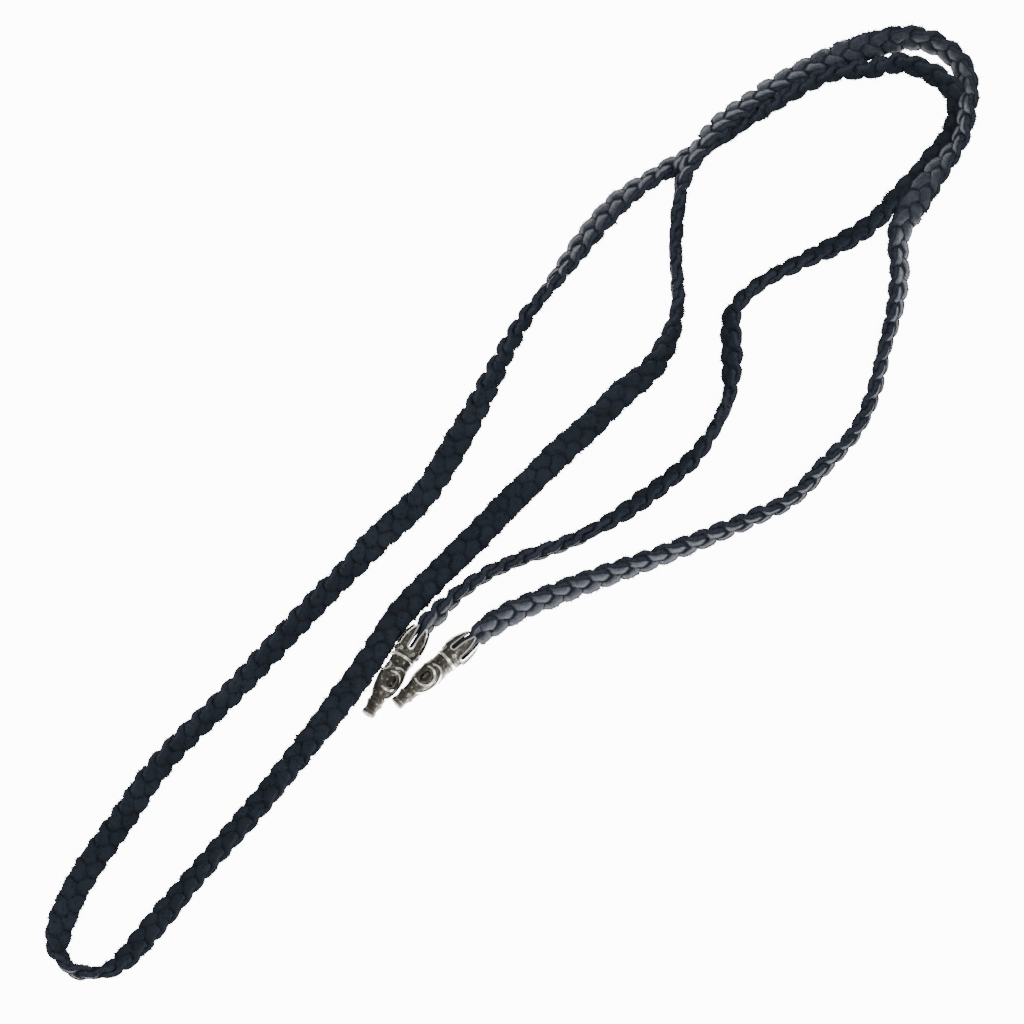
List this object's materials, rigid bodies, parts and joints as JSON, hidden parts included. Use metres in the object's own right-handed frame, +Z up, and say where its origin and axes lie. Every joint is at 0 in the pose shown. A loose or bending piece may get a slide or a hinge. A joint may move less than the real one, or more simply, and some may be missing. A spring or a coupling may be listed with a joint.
{
  "type": "necklace cord",
  "caption": "Leather plait necklace cord laid loosely doubled, with cast silver ends shaped as petalled bells with scrolls.",
  "frame": {"origin": "on the table, under the middle of the laid cord's box", "axes": "+Z up from the table, +X to the right, +Y away from the viewer"},
  "size_m": [0.2326, 0.2498, 0.0125],
  "materials": {
    "leather": "suede on one face, smooth grain on the other",
    "silver": "cast and oxidised in the hollows"
  },
  "bodies": {
    "root": {"lace_1": "leather", "lace_2": "leather", "lace_3": "leather", "end_cap_tail": "silver", "end_cap_head": "silver"}
  },
  "joints": []
}
